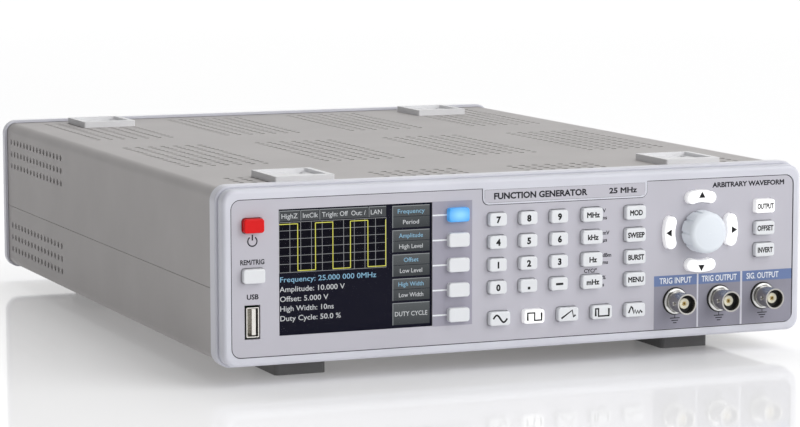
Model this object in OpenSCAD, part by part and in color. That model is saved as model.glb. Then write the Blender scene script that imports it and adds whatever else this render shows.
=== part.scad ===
// Bench function generator: a shallow instrument case with a front panel full of
// keys, a display, a turning knob and coaxial sockets, and a recessed rear panel.
// Frame: +X right, +Y to the back, +Z up. The origin is on the surface that the
// instrument stands on, under the middle of its overall box.

/* [Case] */
// Width of the front and rear frames
body_w = 285; // [284:0.5:288]
// Height of the front and rear frames
frame_h = 79.5; // [79:0.5:84]
// Depth from the front panel's face to the back of the rear frame
body_d = 365; // [360:1:380]
// Height of the frames above the surface that the feet stand on
foot_h = 8.5; // [8:0.5:10]
// Corner radius of the frames, seen from the front
frame_r = 7; // [6.5:0.5:8]
// Distance that the covers lie inside the frames' outline
cover_inset = 1.5; // [1.3:0.1:1.8]
// Sheet thickness of the covers
sheet_t = 1; // [0.8:0.1:1.2]
// Outer bend radius of the covers
cover_r = 4.5; // [4:0.5:5]
// Height of the seam between the covers, from mid height
seam_z = -5.9; // [-8:0.1:-4]

/* [Front] */
// Width of the front panel
panel_w = 275.1; // [274:0.1:276]
// Height of the front panel
panel_h = 68.6; // [68:0.1:69]
// Thickness of the front panel
panel_t = 2.5; // [2:0.1:2.6]
// Corner radius of the front panel
panel_r = 4.2; // [3.5:0.1:5]
// Width of the display window
window_w = 71.9; // [70:0.1:72]
// Height of the display window
window_h = 55.15; // [54:0.05:56]
// Height that the keys stand out of the panel
key_rise = 2.7; // [2.2:0.1:3.2]
// Distance that a key moves when it is pressed
key_travel = 0.8; // [0.5:0.1:1]
// Distance that the power button moves when it is pressed
power_travel = 2; // [1.5:0.1:2]
// Gap round each key in its opening in the panel
key_gap = 0.3; // [0.25:0.05:0.4]

/* [Knob] */
// Diameter of the knob at its base
knob_d = 19.6; // [18:0.1:21]
// Height of the knob above the panel
knob_rise = 10.6; // [9.5:0.1:11.5]
// Distance that the knob moves when it is pressed
knob_travel = 1; // [0.5:0.1:1.2]
// Diameter of the knob's shaft
shaft_d = 6; // [5:0.5:6]

/* [Sockets] */
// Outer diameter of a coaxial socket's barrel
bnc_d = 9.6; // [9.5:0.05:9.8]
// Distance that a coaxial socket stands out of its panel
bnc_reach = 12; // [11.5:0.1:12.5]

/* [Hidden] */
$fn = 64;
part_gap = 0.3;          // between pieces that move past each other
running_gap = 0.05;      // radial, in a bearing
clear = 1;               // extra length of a cutting tool past a face

// Main levels of the case
y_panel = -(body_d + bnc_reach) / 2 + bnc_reach;
y_rear = y_panel + body_d;
z_mid = foot_h + frame_h / 2;
cover_w = body_w - 2 * cover_inset;
cover_h = frame_h - 2 * cover_inset;
cover_top = z_mid + cover_h / 2;
cover_bottom = z_mid - cover_h / 2;
frame_d = 13.5;          // front frame, behind the panel's face
bezel_proud = 0.3;       // bezel's face ahead of the panel's face
bezel_inset = 1.2;       // bezel inside the widest rim
bezel_edge = 1.8;        // rounding round the bezel's face
groove_y = 6;            // groove between the bezel and the rim
groove_w = 0.9;
rear_rim = 6;            // rear frame outside the covers
pocket_d = 4;            // covers' seat inside the front frame
rear_seat_d = 2.3;       // covers' seat inside the rear frame
cover_y0 = y_panel + frame_d - pocket_d + part_gap;
cover_y1 = y_rear - rear_rim + rear_seat_d - part_gap;
rear_panel_y = y_rear - 13.5;
rear_panel_t = 1.5;

// Vents: round holes on a square grid
vent_d = 3.2;
vent_pitch = 6.45;
vent_columns = 7;
top_vent_x = [-103.5, -34.5, 34.5, 103.5];
top_vents = [[35.5, 5], [153.5, 16], [297, 16]];   // middle behind the panel's face, and holes along Y
side_vent_columns = 16;
side_vent_back = 13.8;   // last column of side holes, from the back of the case
top_side_vents = [16.2, 22.65, 29.1];
bottom_side_vents = [-15.9, -22.35, -28.8];

// Name tab: a tongue of the bezel that hangs into the panel
tab_x = [-19.6, 61.8];
tab_z = 26.9;
tab_r = 3;

// Display
window_x = -79.75;
window_z = 1.68;
window_t = 1.5;
window_sunk = 0.6;
window_lap = 1.3;
module_w = 76;
module_h = 60;
module_t = 3.5;

// Keys: columns and rows from the panel's middle
digit_size = [8.4, 5.85];
wide_size = [10, 6.3];
power_size = [9.2, 6.2];
digit_x = [-13.1, 1.9, 17];
key_rows = [20.3, 10.15, 0, -10.15];
unit_x = 33.5;
function_x = 55.2;
wave_x = [-12.1, 4.73, 21.55, 38.38, 55.2];
wave_z = -24.2;
soft_x = -31.9;
soft_rows = [23.3, 12.15, 1, -10.15, -21.3];
left_x = -127.8;
power_z = 22.9;
remote_z = 1.1;
output_x = 121.7;
key_r = 1.3;             // corner radius of a key
key_edge = 0.6;          // rounding of a key's front edge
flange_out = 1.1;        // key's flange past its cap
flange_t = 1;
stem_d = 3;
board_y = 11.6;          // control board's face, behind the panel's face
board_t = 1.4;
switch_h = 3.4;
switch_w = 6;
boss_d = 3.2;
bosses = [[-121, 29.5], [-121, -29.5], [-38, -29.5], [46.8, -30], [111, 29.5], [111, -29.5]];
power_stem_end = board_y - switch_h - power_travel - part_gap;
key_stem_end = board_y - switch_h - key_travel - part_gap;

// Knob and the arrow keys round it
knob_x = 88.7;
knob_z = 10.15;
knob_taper = 0.3;
knob_edge = 2.6;         // rounding between the side and the face
knob_dome = 0.5;         // crown of the face
knob_lift = 1.5;         // gap between the knob and the panel
flutes = 10;             // narrow finger flutes round the knob
flute_r = 0.7;
flute_depth = 0.6;
arrow_in = 13.4;
arrow_out = 18.9;
arrow_mid = (arrow_in + arrow_out) / 2;
arrow_half = (arrow_out - arrow_in) / 2;
arrow_turn = 17;         // half angle between the centres of an arrow key's ends
encoder_w = 12.5;
bush_d = 9;

// Sockets
bnc_x = [76.6, 99.3, 122];
bnc_z = -21.6;
rear_bnc_x = [-50, -20, 10, 40];
rear_bnc_z = -16;
bnc_collar_d = 11.8;
bnc_bore_d = 8.2;
bnc_lug_d = 2;
bnc_lug_span = 11.1;
bnc_lug_y = 4.2;         // bayonet lugs, behind the mouth
bnc_mouth_l = 3.1;       // full-size stretch ahead of the lugs
bnc_body_l = 9;          // behind the panel's face
insert_d = 4.8;
insert_sunk = 2.8;       // insulator's face, behind the mouth
usb_x = -128;
usb_z = -19.2;
usb_size = [5.7, 13.1];
usb_opening = [7.2, 15];
usb_wall = 0.4;
usb_depth = 14;
inlet_x = -100;
inlet_size = [27.2, 19.8];
inlet_flange = [31, 24];
inlet_cavity = [24.4, 16.4];
inlet_depth = 15;
pin_size = [2, 4];

// Feet, tilt legs and stacking lugs
foot_x = 96;
foot_w = 24;
foot_l = 30;
foot_front = 27;         // front face of the front feet, behind the panel's face
lug_w = 28;
lug_l = 32;
lug_t = 3;
lug_front = 20;
lug_rear = 317;
leg_w = 18;
leg_t = 4.4;
leg_pin_d = 3;
leg_y = foot_front + 5.5;
leg_z = 4.6;
leg_l = 21;
channel_wall = 1.8;      // foot's wall in front of the folded leg
channel_h = 7.6;

// ---------- shapes that repeat ----------

// Draws a flat shape, given in X and Z, as a slab from y0 to y0 + depth.
module slab(y0, depth) {
    translate([0, y0, 0])
        rotate([90, 0, 0])
            translate([0, 0, -depth])
                linear_extrude(depth)
                    children();
}

module rounded_rect(size, r) {
    square([size[0] - 2 * r, size[1]], center = true);
    square([size[0], size[1] - 2 * r], center = true);
    for (sx = [-1, 1], sy = [-1, 1])
        translate([sx * (size[0] / 2 - r), sy * (size[1] / 2 - r)])
            circle(r);
}

// Half of a cross-section whose top outer edge is rounded, for turning.
module half_profile(r, t, edge) {
    square([r, t - edge]);
    square([r - edge, t]);
    intersection() {
        translate([r - edge, t - edge])
            circle(edge);
        square([r, t]);
    }
}

module full_profile(w, t, edge) {
    half_profile(w / 2, t, edge);
    mirror([1, 0])
        half_profile(w / 2, t, edge);
}

// Rounded rectangle, t thick towards -Y from y = 0, with its front edge rounded.
module soft_slab(size, t, r, edge) {
    rotate([90, 0, 0]) {
        for (sx = [-1, 1], sy = [-1, 1])
            translate([sx * (size[0] / 2 - r), sy * (size[1] / 2 - r), 0])
                rotate_extrude()
                    half_profile(r, t, edge);
        rotate([90, 0, 0])
            linear_extrude(size[1] - 2 * r, center = true)
                full_profile(size[0], t, edge);
        rotate([90, 0, 90])
            linear_extrude(size[0] - 2 * r, center = true)
                full_profile(size[1], t, edge);
    }
}

module on_panel(x, z) {
    translate([x, y_panel, z_mid + z])
        children();
}

// ---------- keys ----------

module key(size, x, z, rise = key_rise, stem_end = key_stem_end) {
    flange = [size[0] + 2 * flange_out, size[1] + 2 * flange_out];
    flange_y = panel_t + part_gap;
    on_panel(x, z) {
        translate([0, flange_y, 0])
            soft_slab(size, flange_y + rise, key_r, key_edge);
        slab(flange_y, flange_t)
            rounded_rect(flange, key_r);
        slab(flange_y, stem_end - flange_y)
            circle(d = stem_d);
    }
}

module key_hole(size, x, z) {
    translate([x, z])
        rounded_rect([size[0] + 2 * key_gap, size[1] + 2 * key_gap], key_r + key_gap);
}

// Arc-shaped key whose middle stands at the given turn from straight up.
module arrow_key(turn) {
    flange_y = panel_t + part_gap;
    on_panel(knob_x, knob_z)
        rotate([0, turn, 0]) {
            translate([0, flange_y, 0])
                rotate([90, 0, 0])
                    arrow_body(flange_y + key_rise, arrow_half, key_edge);
            translate([0, flange_y + flange_t, 0])
                rotate([90, 0, 0])
                    arrow_body(flange_t, arrow_half + flange_out, 0.2);
            slab(flange_y, key_stem_end - flange_y)
                translate([0, arrow_mid])
                    circle(d = stem_d);
        }
}

module arrow_body(t, half, edge) {
    rotate([0, 0, 90 - arrow_turn])
        rotate_extrude(angle = 2 * arrow_turn)
            translate([arrow_mid, 0])
                full_profile(2 * half, t, edge);
    for (s = [-1, 1])
        rotate([0, 0, s * arrow_turn])
            translate([0, arrow_mid, 0])
                rotate_extrude()
                    half_profile(half, t, edge);
}

module arrow_hole(turn) {
    translate([knob_x, knob_z])
        rotate([0, 0, -turn]) {
            intersection() {
                difference() {
                    circle(arrow_out + key_gap);
                    circle(arrow_in - key_gap);
                }
                polygon([
                    [0, 0],
                    [-2 * arrow_out * tan(arrow_turn), 2 * arrow_out],
                    [2 * arrow_out * tan(arrow_turn), 2 * arrow_out]
                ]);
            }
            // the round ends are a touch wider, so that they cross the arcs cleanly
            for (s = [-1, 1])
                rotate([0, 0, s * arrow_turn])
                    translate([0, arrow_mid])
                        circle(arrow_half + key_gap + 0.03);
        }
}

// Every rectangular key's size and place, as [size, x, z].
function panel_keys() = concat(
    [[power_size, left_x, power_z], [wide_size, left_x, remote_z]],
    [for (z = soft_rows) [wide_size, soft_x, z]],
    [for (z = key_rows, x = digit_x) [digit_size, x, z]],
    [for (z = key_rows) [wide_size, unit_x, z]],
    [for (z = key_rows) [wide_size, function_x, z]],
    [for (x = wave_x) [wide_size, x, wave_z]],
    [for (i = [0:2]) [wide_size, output_x, key_rows[i]]]
);

module power_button() {
    color("red")
        key(power_size, left_x, power_z, key_rise + 0.3, power_stem_end);
}
module remote_key() {
    color("whitesmoke")
        key(wide_size, left_x, remote_z);
}
module soft_key(i) {
    color(i == 0 ? "deepskyblue" : "whitesmoke")
        key(wide_size, soft_x, soft_rows[i]);
}
module digit_key(column, row) {
    color("whitesmoke")
        key(digit_size, digit_x[column], key_rows[row]);
}
module unit_key(row) {
    color("whitesmoke")
        key(wide_size, unit_x, key_rows[row]);
}
module function_key(row) {
    color("whitesmoke")
        key(wide_size, function_x, key_rows[row]);
}
module wave_key(i) {
    color("whitesmoke")
        key(wide_size, wave_x[i], wave_z);
}
module output_group_key(row) {
    color("whitesmoke")
        key(wide_size, output_x, key_rows[row]);
}
module arrow(turn) {
    color("white")
        arrow_key(turn);
}

// ---------- knob ----------

module encoder_shaft() {
    end_y = board_y - part_gap - knob_travel;
    color("silver")
        on_panel(knob_x, knob_z)
            slab(-knob_rise + 2.5, end_y + knob_rise - 2.5)
                circle(d = shaft_d);
}

module knob() {
    length = knob_rise - knob_lift;
    color("lightsteelblue")
        on_panel(knob_x, knob_z)
            translate([0, -knob_lift, 0])
                rotate([90, 0, 0])
                    difference() {
                        rotate_extrude()
                            knob_profile(length);
                        translate([0, 0, -clear])
                            cylinder(d = shaft_d + 2 * running_gap, h = length - 2.2 + clear);
                        for (i = [0:flutes - 1])
                            rotate([0, 0, i * 360 / flutes])
                                translate([knob_d / 2 + flute_r - flute_depth, 0, -clear])
                                    cylinder(r = flute_r, h = length + clear, $fn = 24);
                    }
}

// Wall with a slight taper, a rounded edge and a gently domed face.
module knob_profile(length) {
    top_r = knob_d / 2 - knob_taper;
    face_r = top_r - knob_edge;
    shoulder_z = length - knob_dome - knob_edge;
    polygon([
        [0, 0], [knob_d / 2, 0],
        for (turn = [0:10:90]) [face_r + knob_edge * cos(turn), shoulder_z + knob_edge * sin(turn)],
        for (share = [0.8:-0.2:0.2]) [face_r * share, length - knob_dome * share * share],
        [0, length]
    ]);
}

// ---------- front ----------

module front_frame() {
    rim = [body_w, frame_h];
    bezel = [body_w - 2 * bezel_inset, frame_h - 2 * bezel_inset];
    neck = [body_w - 4 * bezel_inset, frame_h - 4 * bezel_inset];
    opening = [panel_w + 0.4, panel_h + 0.4];
    ledge = [panel_w - 5, panel_h - 5];
    pocket = [cover_w + 0.4, cover_h + 0.4];
    color("ghostwhite")
        on_panel(0, 0)
            difference() {
                union() {
                    translate([0, groove_y, 0])
                        soft_slab(bezel, groove_y + bezel_proud, frame_r - bezel_inset, bezel_edge);
                    slab(groove_y - 0.1, groove_w + 0.2)
                        rounded_rect(neck, frame_r - 2 * bezel_inset);
                    translate([0, frame_d, 0])
                        soft_slab(rim, frame_d - groove_y - groove_w, frame_r, 0.9);
                }
                difference() {
                    translate([0, 0, -0.25])
                        slab(-clear, panel_t + part_gap / 2 + clear)
                            rounded_rect(opening, panel_r + 0.2);
                    slab(-bezel_proud, panel_t + bezel_proud + part_gap)
                        tab_outline(0);
                }
                translate([0, 0, -0.25])
                    slab(-clear, frame_d + 2 * clear)
                        difference() {
                            rounded_rect(ledge, panel_r - 1);
                            translate([0, 0.25])
                                tab_outline(0.01);
                        }
                slab(panel_t + part_gap, frame_d)
                    rounded_rect(ledge, panel_r - 1);
                slab(frame_d - pocket_d, pocket_d + clear)
                    rounded_rect(pocket, cover_r + 0.2);
            }
}

// Name plate tab: rounded below, running up into the bezel.
module tab_outline(grow) {
    x0 = tab_x[0] - grow;
    x1 = tab_x[1] + grow;
    z0 = tab_z - grow;
    z1 = panel_h / 2 + 0.2;
    translate([x0 + tab_r, z0])
        square([x1 - x0 - 2 * tab_r, z1 - z0]);
    translate([x0, z0 + tab_r])
        square([x1 - x0, z1 - z0 - tab_r]);
    for (x = [x0 + tab_r, x1 - tab_r])
        translate([x, z0 + tab_r])
            circle(tab_r);
}

module front_panel() {
    back_window = [window_w + 2 * window_lap, window_h + 2 * window_lap];
    color("thistle")
        on_panel(0, 0)
            difference() {
                union() {
                    slab(0, panel_t)
                        difference() {
                            translate([0, -0.25])
                                rounded_rect([panel_w, panel_h], panel_r);
                            tab_outline(0.25);
                        }
                    // bosses that the control board is screwed to
                    slab(panel_t - 0.1, board_y - panel_t + 0.1)
                        for (place = bosses)
                            translate(place)
                                circle(d = boss_d);
                }
                slab(-clear, panel_t + 2 * clear) {
                    for (k = panel_keys())
                        key_hole(k[0], k[1], k[2]);
                    for (turn = [0, 90, 180, 270])
                        arrow_hole(turn);
                    translate([knob_x, knob_z])
                        circle(d = bush_d + 0.6);
                    for (x = bnc_x)
                        translate([x, bnc_z])
                            circle(d = bnc_collar_d + 0.4);
                    translate([usb_x, usb_z])
                        square(usb_opening, center = true);
                    translate([window_x, window_z])
                        square([window_w, window_h], center = true);
                }
                slab(window_sunk, panel_t)
                    translate([window_x, window_z])
                        square(back_window, center = true);
            }
}

module display_window() {
    size = [window_w + 2 * window_lap - 0.3, window_h + 2 * window_lap - 0.3];
    color("black", 0.4)
        on_panel(window_x, window_z)
            slab(window_sunk, window_t)
                square(size, center = true);
}

module display_module() {
    frame_y = window_sunk + window_t + 0.2;
    active = [70.1, 52.6];
    color("dimgray")
        on_panel(window_x, window_z) {
            difference() {
                slab(frame_y + 0.3, module_t)
                    rounded_rect([module_w, module_h], 1.5);
                slab(frame_y, 0.8)
                    square(active, center = true);
            }
            // ribbon cable's stiffened end, folded over the back
            translate([0, 0, -14])
                slab(frame_y + module_t + 0.3, 1.2)
                    square([26, 9], center = true);
        }
}

module control_board() {
    board = [panel_w - 7.5, panel_h - 8];
    color("darkgreen")
        on_panel(0, 0) {
            slab(board_y, board_t)
                difference() {
                    translate([0, -0.25])
                        rounded_rect(board, 2);
                    for (x = bnc_x)
                        translate([x, bnc_z])
                            circle(d = 15);
                    translate([usb_x, usb_z])
                        square([usb_size[0] + 1, usb_size[1] + 1], center = true);
                }
            for (k = panel_keys())
                slab(board_y - switch_h, switch_h + 0.1)
                    translate([k[1], k[2]])
                        square(switch_w, center = true);
            for (turn = [0:90:270])
                slab(board_y - switch_h, switch_h + 0.1)
                    translate([knob_x + arrow_mid * sin(turn), knob_z + arrow_mid * cos(turn)])
                        square(switch_w, center = true);
            translate([knob_x, 0, knob_z])
                difference() {
                    union() {
                        slab(panel_t + 1.5, board_y - panel_t - 1.5 + 0.1)
                            square(encoder_w, center = true);
                        slab(0.2, board_y - 0.1)
                            circle(d = bush_d);
                    }
                    slab(-clear, board_y + clear)
                        circle(d = shaft_d + 2 * running_gap);
                }
        }
}

// ---------- sockets ----------

// Coaxial panel socket with its mouth towards -Y, through a wall whose face is at y = 0.
module bnc_socket(wall_t) {
    difference() {
        union() {
            slab(-bnc_reach, bnc_mouth_l)
                circle(d = bnc_d);
            slab(-bnc_reach, bnc_reach + bnc_body_l)
                circle(d = bnc_d - 0.2);
            slab(-1, 1 + wall_t)
                circle(d = bnc_collar_d);
            // nut that clamps the socket to the wall from behind
            slab(wall_t, 2.2)
                circle(d = 14, $fn = 6);
            for (s = [-1, 1])
                translate([s * bnc_lug_span / 4, -bnc_reach + bnc_lug_y, 0])
                    rotate([0, 90, 0])
                        cylinder(d = bnc_lug_d, h = bnc_lug_span / 2, center = true);
        }
        slab(-bnc_reach - clear, 9 + clear)
            circle(d = bnc_bore_d);
        slab(-bnc_reach, bnc_reach + bnc_body_l + clear)
            circle(d = insert_d);
    }
}

// Insulator with the centre contact's hole in front and its solder pin behind.
module bnc_insert() {
    difference() {
        slab(-bnc_reach + insert_sunk, bnc_reach - insert_sunk + bnc_body_l)
            circle(d = insert_d - 0.04);
        slab(-bnc_reach, 7)
            circle(d = 1.4);
    }
    slab(bnc_body_l - 0.1, 4)
        circle(d = 1.2);
}

// Places the first child at each front socket and the second at each rear one.
module at_sockets() {
    for (x = bnc_x)
        on_panel(x, bnc_z)
            children(0);
    for (x = rear_bnc_x)
        translate([x, rear_panel_y, z_mid + rear_bnc_z])
            rotate([0, 0, 180])
                children(1);
}

module bnc_sockets() {
    color("slategray")
        at_sockets() {
            bnc_socket(panel_t);
            bnc_socket(rear_panel_t);
        }
}

module bnc_inserts() {
    color("ivory")
        at_sockets() {
            bnc_insert();
            bnc_insert();
        }
}

module usb_socket() {
    inner = [usb_size[0] - 2 * usb_wall, usb_size[1] - 2 * usb_wall];
    color("silver")
        on_panel(usb_x, usb_z)
            difference() {
                slab(-0.3, usb_depth)
                    rounded_rect(usb_size, 0.5);
                slab(-clear, usb_depth - 2)
                    difference() {
                        square(inner, center = true);
                        translate([0.95, 0])
                            square([1.8, inner[1] - 0.8], center = true);
                    }
                // the tongue stands back from the mouth
                slab(-clear, 2)
                    square(inner, center = true);
            }
}

// Mains inlet with its mouth towards +Y.
module mains_inlet() {
    proud = 3;
    color("dimgray")
        translate([inlet_x, rear_panel_y, z_mid]) {
            difference() {
                union() {
                    slab(0, proud)
                        rounded_rect(inlet_flange, 2.5);
                    slab(-inlet_depth, inlet_depth + 0.1)
                        rounded_rect(inlet_size, 2);
                }
                slab(proud - inlet_depth, inlet_depth + clear)
                    inlet_mouth();
            }
            for (place = [[-7, -1], [0, 3], [7, -1]])
                slab(proud - inlet_depth - 0.1, inlet_depth - 3)
                    translate(place)
                        square(pin_size, center = true);
        }
}

// Six-sided mouth with its two upper corners cut off.
module inlet_mouth() {
    w = inlet_cavity[0] / 2;
    h = inlet_cavity[1] / 2;
    cut = 5;
    polygon([[-w, -h], [w, -h], [w, h - cut], [w - cut, h], [cut - w, h], [-w, h - cut]]);
}

// ---------- case ----------

// Cover sheet as seen from the front, before it is cut at the seam.
module cover_ring() {
    difference() {
        rounded_rect([cover_w, cover_h], cover_r);
        rounded_rect([cover_w - 2 * sheet_t, cover_h - 2 * sheet_t], cover_r - sheet_t);
    }
}

// Rows of holes through both side walls at the given heights.
module side_holes(rows) {
    for (z = rows, i = [0:side_vent_columns - 1])
        translate([0, y_rear - side_vent_back - i * vent_pitch, z_mid + z])
            rotate([0, 90, 0])
                cylinder(d = vent_d, h = body_w, center = true, $fn = 24);
}

// Fields of holes in the top, drawn flat: each is vent_columns wide in X.
module top_holes() {
    for (x = top_vent_x, field = top_vents, i = [0:vent_columns - 1], j = [0:field[1] - 1]) {
        across = (i - (vent_columns - 1) / 2) * vent_pitch;
        along = (j - (field[1] - 1) / 2) * vent_pitch;
        translate([x + across, y_panel + field[0] + along])
            circle(d = vent_d, $fn = 24);
    }
}

module top_cover() {
    color("darkgray")
        difference() {
            translate([0, 0, z_mid])
                slab(cover_y0, cover_y1 - cover_y0)
                    intersection() {
                        cover_ring();
                        translate([-body_w, seam_z + 0.1])
                            square([2 * body_w, frame_h]);
                    }
            translate([0, 0, cover_top - 2 * sheet_t])
                linear_extrude(3 * sheet_t)
                    top_holes();
            side_holes(top_side_vents);
        }
}

module bottom_cover() {
    floor_z = cover_bottom + sheet_t;
    color("darkgray")
        difference() {
            union() {
                translate([0, 0, z_mid])
                    slab(cover_y0, cover_y1 - cover_y0)
                        intersection() {
                            cover_ring();
                            translate([-body_w, seam_z - 0.1 - frame_h])
                                square([2 * body_w, frame_h]);
                        }
                // posts that carry the main board and the power supply
                for (x = [-30, 125], y = [-120, 110])
                    translate([x, y, floor_z - 0.1])
                        cylinder(d = 7, h = 8.1);
                for (x = [-125, -55], y = [10, 120])
                    translate([x, y, floor_z - 0.1])
                        cylinder(d = 7, h = 5.1);
                // lips behind the seam that line up the top cover
                for (s = [-1, 1], y = [-120, 0, 120])
                    translate([s * (cover_w / 2 - sheet_t - 0.5), y, z_mid + seam_z - 2])
                        cube([1, 24, 12], center = true);
            }
            side_holes(bottom_side_vents);
        }
}

module rear_frame() {
    rim = [body_w, frame_h];
    inner = [cover_w - 2 * sheet_t - 0.4, cover_h - 2 * sheet_t - 0.4];
    opening = [inner[0] - 4, inner[1] - 4];
    collar_y = rear_panel_y - rear_panel_t - 2;
    color("ghostwhite")
        translate([0, 0, z_mid])
            difference() {
                union() {
                    translate([0, y_rear - rear_rim, 0])
                        rotate([0, 0, 180])
                            soft_slab(rim, rear_rim, frame_r, 2);
                    slab(collar_y, y_rear - rear_rim - collar_y + 0.1)
                        rounded_rect(inner, cover_r - sheet_t);
                }
                slab(collar_y - clear, y_rear - collar_y + 2 * clear)
                    rounded_rect(opening, 2.5);
                // seat of the rear panel, open towards the inside
                slab(collar_y - clear, rear_panel_y - collar_y + clear)
                    rounded_rect([opening[0] + 2.4, opening[1] + 2.4], 3);
                // seat of the covers
                slab(y_rear - rear_rim - clear, rear_seat_d + clear)
                    difference() {
                        rounded_rect([cover_w + 0.4, cover_h + 0.4], cover_r + 0.2);
                        rounded_rect(inner, cover_r - sheet_t);
                    }
            }
}

module rear_panel() {
    inner = [cover_w - 2 * sheet_t - 0.4, cover_h - 2 * sheet_t - 0.4];
    plate = [inner[0] - 4 + 2, inner[1] - 4 + 2];
    color("gainsboro")
        translate([0, 0, z_mid])
            slab(rear_panel_y - rear_panel_t, rear_panel_t)
                difference() {
                    rounded_rect(plate, 2.8);
                    for (x = rear_bnc_x)
                        translate([x, rear_bnc_z])
                            circle(d = bnc_collar_d + 0.2);
                    translate([inlet_x, 0])
                        rounded_rect([inlet_size[0] + 0.3, inlet_size[1] + 0.3], 2.1);
                }
}

// ---------- feet, legs and lugs ----------

// Foot block; its front face is at y = 0 and it stands on z = 0.
module foot_block() {
    translate([0, foot_l / 2, 0])
        linear_extrude(cover_bottom)
            rounded_rect([foot_w, foot_l], 2);
    translate([0, foot_l / 2, cover_bottom - 2])
        linear_extrude(2)
            rounded_rect([foot_w + 4, foot_l + 3], 3);
}

module feet() {
    color("dimgray") {
        for (s = [-1, 1])
            translate([s * foot_x, y_panel + foot_front, 0])
                difference() {
                    foot_block();
                    // channel for the folded tilt leg
                    translate([-leg_w / 2 - part_gap, channel_wall, -clear])
                        cube([leg_w + 2 * part_gap, foot_l, channel_h + clear]);
                    translate([0, leg_y - foot_front, leg_z])
                        rotate([0, 90, 0])
                            cylinder(d = leg_pin_d + 2 * running_gap, h = leg_w + 3.6, center = true);
                }
        for (s = [-1, 1])
            translate([s * foot_x, y_panel + lug_rear, 0])
                foot_block();
    }
}

// Tilt leg folded up into its foot, hinged near the foot's front.
module tilt_leg(side) {
    hub_r = 2.6;
    color("dimgray")
        translate([side * foot_x, y_panel + leg_y, leg_z]) {
            rotate([0, 90, 0])
                cylinder(r = hub_r, h = leg_w, center = true);
            rotate([0, 90, 0])
                cylinder(d = leg_pin_d, h = leg_w + 3, center = true);
            translate([-leg_w / 2, 0, -leg_t / 2])
                cube([leg_w, leg_l, leg_t]);
            // rounded toe
            translate([0, leg_l, 0])
                rotate([0, 90, 0])
                    cylinder(d = leg_t, h = leg_w, center = true);
        }
}

module stacking_lugs() {
    color("white")
        for (s = [-1, 1], y = [lug_front, lug_rear])
            translate([s * foot_x, y_panel + y + lug_l / 2, cover_top])
                difference() {
                    linear_extrude(lug_t)
                        rounded_rect([lug_w, lug_l], 0.8);
                    translate([0, 1, lug_t - 1.6])
                        linear_extrude(lug_t)
                            rounded_rect([lug_w - 5, lug_l - 6], 0.8);
                    translate([5, 10, lug_t - 2.4])
                        linear_extrude(lug_t)
                            rounded_rect([8, 7], 0.8);
                }
}

// ---------- inside ----------

module main_board() {
    board_z = cover_bottom + sheet_t + 8;
    color("darkgreen") {
        translate([47.5, -5, board_z + 0.8])
            cube([172, 250, 1.6], center = true);
        // shielded signal stage, processor and heat sink
        translate([80, -85, board_z + 8])
            cube([72, 60, 13], center = true);
        translate([20, 10, board_z + 2.5])
            cube([24, 24, 3], center = true);
        for (i = [0:8])
            translate([75 + i * 5, 60, board_z + 11])
                cube([1.6, 50, 20], center = true);
        translate([95, 60, board_z + 2.5])
            cube([44, 50, 3], center = true);
    }
}

module power_supply() {
    base_z = cover_bottom + sheet_t + 5;
    color("silver") {
        translate([-90, 65, base_z + 0.8])
            cube([84, 128, 1.6], center = true);
        translate([-90, 65, base_z + 16])
            cube([36, 34, 30], center = true);
        for (x = [-118, -62], y = [25, 105])
            translate([x, y, base_z + 1.5])
                cylinder(d = 14, h = 26);
        translate([-90, 112, base_z + 9])
            cube([60, 3, 16], center = true);
    }
}

front_frame();
front_panel();
display_window();
display_module();
control_board();
bnc_sockets();
bnc_inserts();
usb_socket();
top_cover();
bottom_cover();
rear_frame();
rear_panel();
feet();
stacking_lugs();
main_board();
power_supply();
mains_inlet();
power_button();
remote_key();
soft_key(0);  // soft_key_1
soft_key(1);  // soft_key_2
soft_key(2);  // soft_key_3
soft_key(3);  // soft_key_4
soft_key(4);  // soft_key_5
digit_key(0, 0);  // digit_7
digit_key(1, 0);  // digit_8
digit_key(2, 0);  // digit_9
digit_key(0, 1);  // digit_4
digit_key(1, 1);  // digit_5
digit_key(2, 1);  // digit_6
digit_key(0, 2);  // digit_1
digit_key(1, 2);  // digit_2
digit_key(2, 2);  // digit_3
digit_key(0, 3);  // digit_0
digit_key(1, 3);  // digit_point
digit_key(2, 3);  // digit_minus
unit_key(0);  // unit_key_1
unit_key(1);  // unit_key_2
unit_key(2);  // unit_key_3
unit_key(3);  // unit_key_4
function_key(0);  // mod_key
function_key(1);  // sweep_key
function_key(2);  // burst_key
function_key(3);  // menu_key
wave_key(0);  // sine_key
wave_key(1);  // square_key
wave_key(2);  // ramp_key
wave_key(3);  // pulse_key
wave_key(4);  // arbitrary_key
output_group_key(0);  // output_key
output_group_key(1);  // offset_key
output_group_key(2);  // invert_key
arrow(0);  // arrow_up
arrow(90);  // arrow_right
arrow(180);  // arrow_down
arrow(270);  // arrow_left
encoder_shaft();
knob();
tilt_leg(-1);  // tilt_leg_left
tilt_leg(1);  // tilt_leg_right
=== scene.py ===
from math import cos, pi, radians, sin

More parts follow.
